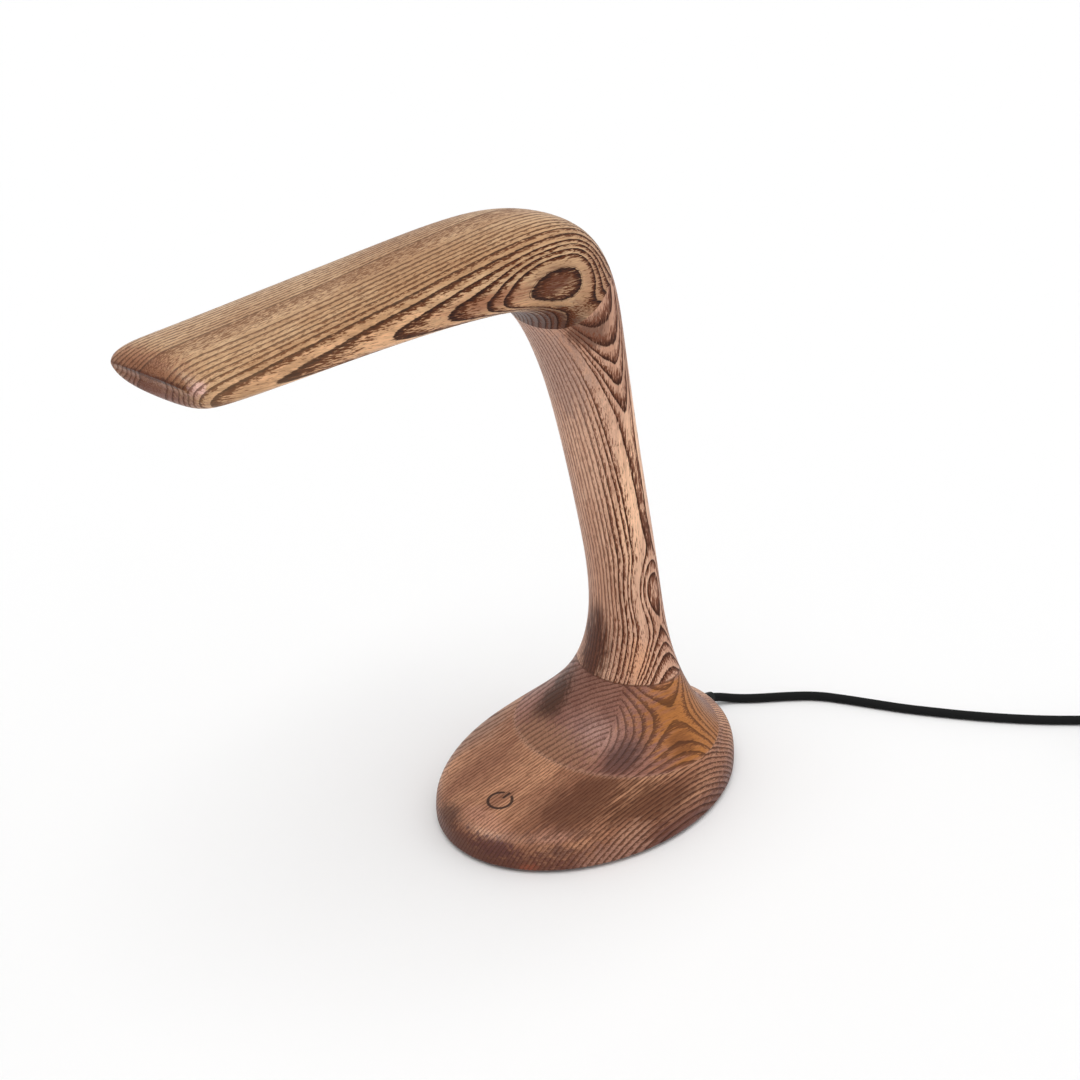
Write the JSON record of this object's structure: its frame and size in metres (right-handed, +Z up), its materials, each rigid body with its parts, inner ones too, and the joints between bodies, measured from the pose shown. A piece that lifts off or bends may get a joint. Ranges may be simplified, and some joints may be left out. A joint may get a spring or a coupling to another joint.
{
  "type": "desk lamp",
  "caption": "Carved ash desk lamp: oval weighted base, leaning neck and a long flat head with an LED strip underneath, touch control and a black textile lead.",
  "frame": {"origin": "on the standing surface, under the middle of the oval base (centre of the foot pad's underside)", "axes": "+Z up, -X towards the tip of the head, +X towards the mains lead, the lamp symmetrical about the plane y = 0"},
  "size_m": [0.6227, 0.4118, 0.3737],
  "materials": {
    "ash_wood": "oiled and brushed, dark grain",
    "beech_dowel": "plain turned",
    "black_rubber": "matte sheet",
    "black_steel": "powder coated",
    "zinc_steel": "zinc plated",
    "raw_steel": "sawn and deburred",
    "bronze_leaf": "rolled strip",
    "green_board": "solder mask",
    "white_board": "white solder mask",
    "led_phosphor": "silicone filled",
    "black_component": "moulded",
    "white_housing": "moulded",
    "aluminium_profile": "clear anodised, extruded",
    "opal_cover": "opal, satin",
    "grey_cap": "moulded",
    "brown_insulation": "extruded",
    "blue_insulation": "extruded",
    "white_insulation": "extruded",
    "black_textile": "braided sleeve",
    "black_moulding": "moulded, fine texture",
    "nickel_pin": "nickel plated"
  },
  "bodies": {
    "root": {"head_block": "ash_wood", "neck_block": "ash_wood", "collar_block": "ash_wood", "base_slab": "ash_wood", "collar_dowels": "beech_dowel", "neck_dowels": "beech_dowel", "mitre_dowels": "beech_dowel", "base_pad": "black_rubber", "bottom_cover": "black_steel", "cover_screws": "zinc_steel", "ballast_plate": "raw_steel", "ballast_screws": "zinc_steel", "touch_electrode": "bronze_leaf", "touch_spring": "bronze_leaf", "touch_board": "green_board", "touch_board_parts": "black_component", "touch_board_standoffs": "white_housing", "touch_board_screws": "zinc_steel", "led_driver": "white_housing", "driver_screws": "zinc_steel", "driver_output_lead": "white_insulation", "mains_wire_brown": "brown_insulation", "mains_wire_blue": "blue_insulation", "terminal_block": "white_housing", "terminal_screw": "zinc_steel", "cord_clamp_block": "black_component", "cord_clamp_bar": "black_component", "cord_clamp_screws": "zinc_steel", "cord_bush": "black_moulding", "cord_inner_end": "black_textile", "lamp_lead": "white_insulation", "led_channel": "aluminium_profile", "channel_end_caps": "grey_cap", "channel_screws": "zinc_steel", "led_board": "white_board", "led_board_screws": "zinc_steel", "led_chips": "led_phosphor", "diffuser": "opal_cover", "power_cord": "black_textile", "power_cord_coil": "black_textile", "power_cord_end": "black_textile", "coil_tie": "black_textile", "plug_boot": "black_moulding", "plug_body": "black_moulding", "plug_pin_sleeves": "black_moulding", "plug_pins": "nickel_pin"}
  },
  "joints": []
}
